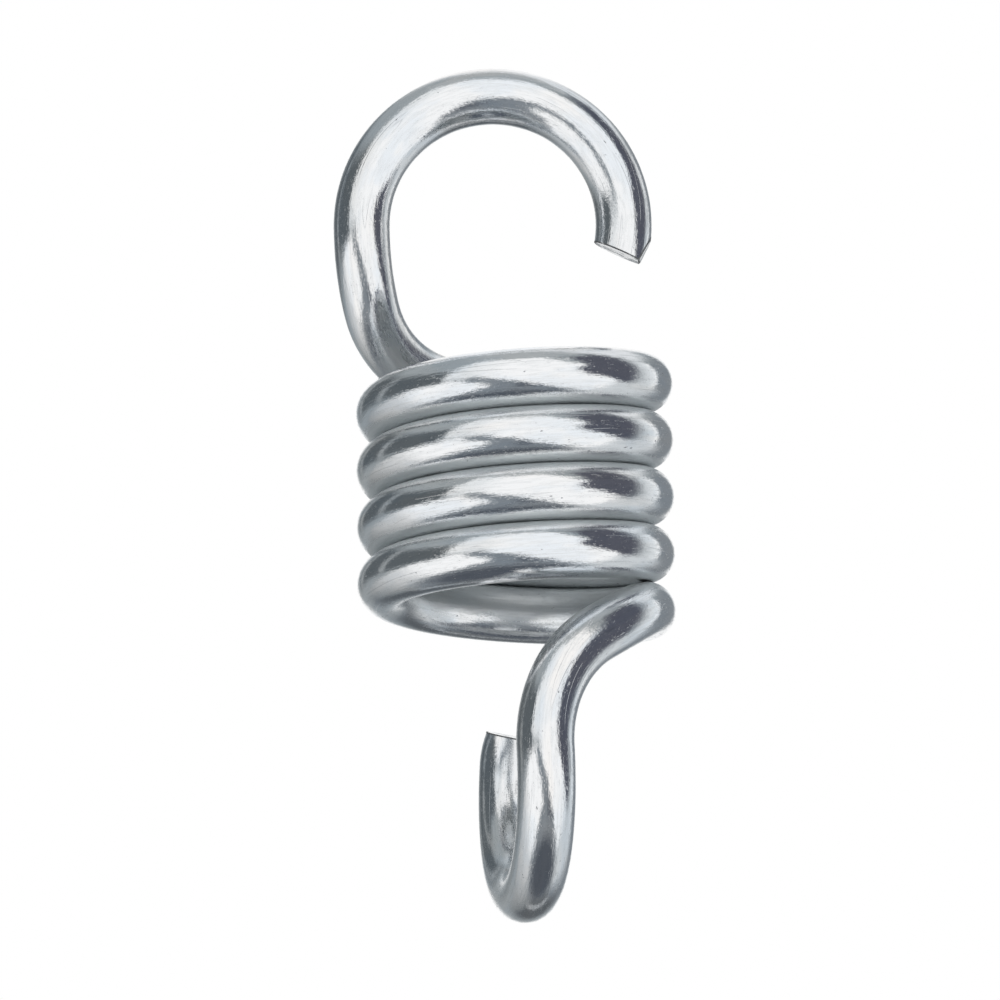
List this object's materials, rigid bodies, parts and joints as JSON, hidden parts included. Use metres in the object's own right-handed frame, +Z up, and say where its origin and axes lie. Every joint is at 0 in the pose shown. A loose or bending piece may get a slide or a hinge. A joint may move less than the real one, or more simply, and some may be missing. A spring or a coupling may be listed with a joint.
{
  "type": "hammock hook",
  "caption": "Closed coil of round steel wire with a large open eye bent at each end, to hang a hammock chair or swing and soften its load.",
  "frame": {"origin": "the bearing point: inside the top eye, at its highest point, where the hook hangs from a bar or ring", "axes": "+X to the open side of the top eye, +Y to the back, +Z up along the coil"},
  "size_m": [0.0478, 0.0474, 0.1224],
  "materials": {
    "zinc_steel": "bright zinc-plated wire with fine drawing lines, small pits and scratches"
  },
  "bodies": {
    "root": {"spring_hook": "zinc_steel"}
  },
  "joints": []
}
